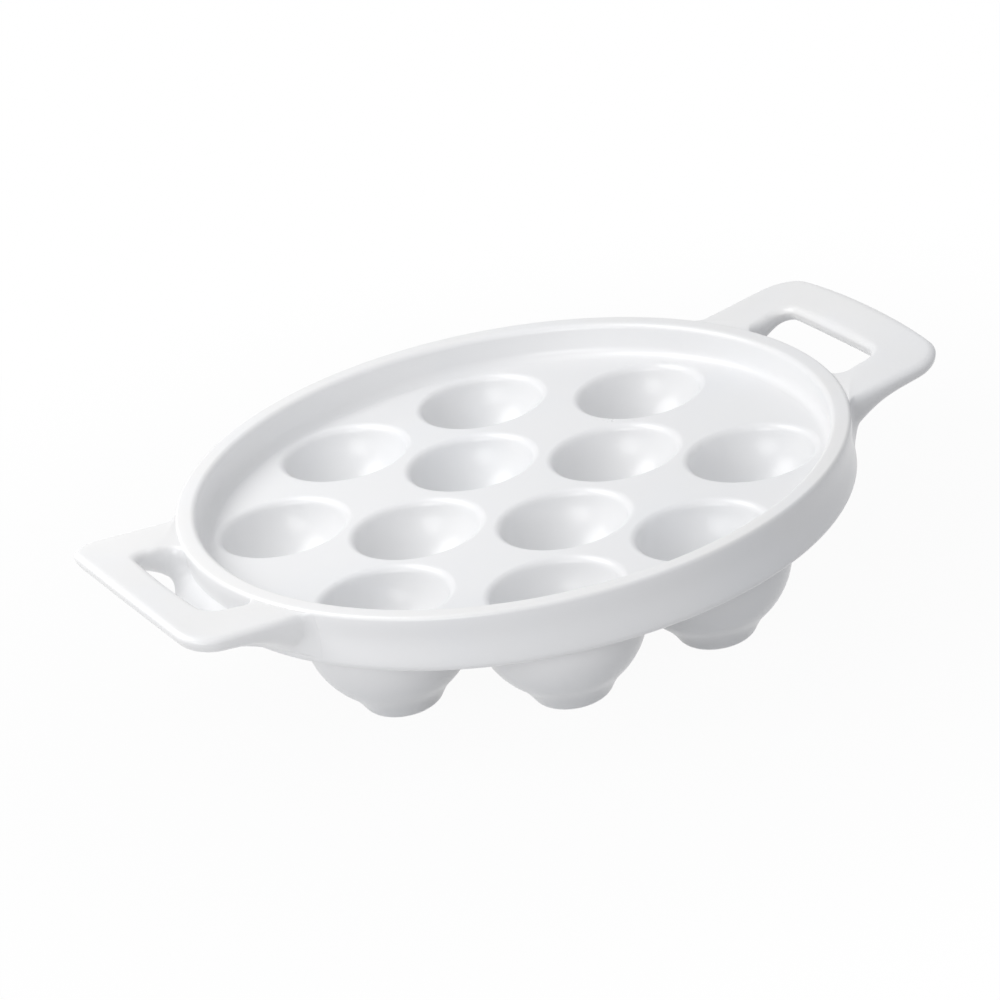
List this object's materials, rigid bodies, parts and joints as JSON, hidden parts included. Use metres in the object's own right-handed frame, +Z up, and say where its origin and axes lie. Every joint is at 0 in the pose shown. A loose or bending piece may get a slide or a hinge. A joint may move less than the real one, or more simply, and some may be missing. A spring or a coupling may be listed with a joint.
{
  "type": "escargot plate",
  "caption": "Round glazed porcelain plate for baking and serving snails, with a raised rim, round wells sunk in its deck, a foot under each well and a loop handle at each end.",
  "frame": {"origin": "on the table, under the middle of the plate", "axes": "+Z up out of the wells, +X out through the right handle, +Y across the handles"},
  "size_m": [0.256, 0.202, 0.05],
  "materials": {
    "glaze": "gloss white glaze"
  },
  "bodies": {
    "root": {"rim": "glaze", "deck": "glaze", "ring_well_1": "glaze", "ring_well_2": "glaze", "ring_well_3": "glaze", "ring_well_4": "glaze", "ring_well_5": "glaze", "ring_well_6": "glaze", "ring_well_7": "glaze", "ring_well_8": "glaze", "inner_well_1": "glaze", "inner_well_2": "glaze", "inner_well_3": "glaze", "inner_well_4": "glaze", "handle_left": "glaze", "handle_right": "glaze"}
  },
  "joints": []
}
